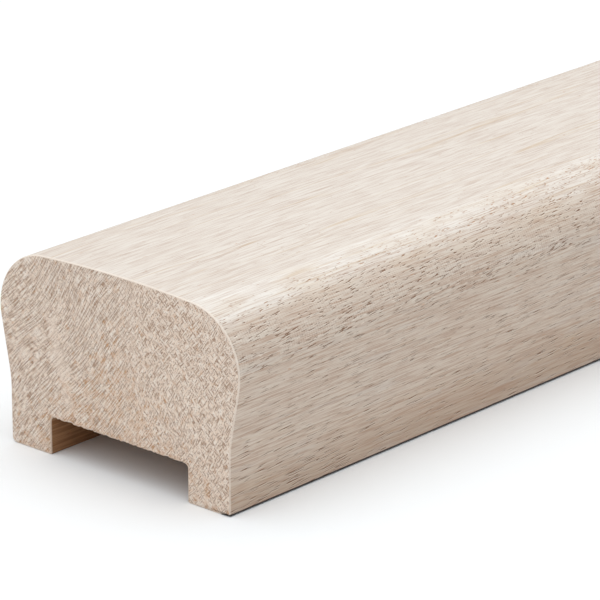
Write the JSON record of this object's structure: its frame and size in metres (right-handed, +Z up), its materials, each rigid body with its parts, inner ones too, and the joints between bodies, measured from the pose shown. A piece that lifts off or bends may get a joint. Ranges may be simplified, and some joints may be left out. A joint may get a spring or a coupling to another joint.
{
  "type": "wooden handrail",
  "caption": "Straight length of moulded hardwood handrail with a low crown, round shoulders, waisted sides and a wide flat plough along the underside.",
  "frame": {"origin": "middle of the underside, level with the two feet, half way along the rail", "axes": "+Y along the rail, +Z up to the crown, +X across; the end that the picture shows is the one at -Y"},
  "size_m": [0.065, 1.2, 0.0424],
  "materials": {
    "planed_hardwood": "bare planed hardwood with fine pores, and sawn end grain at both ends"
  },
  "bodies": {
    "root": {"handrail": "planed_hardwood"}
  },
  "joints": []
}
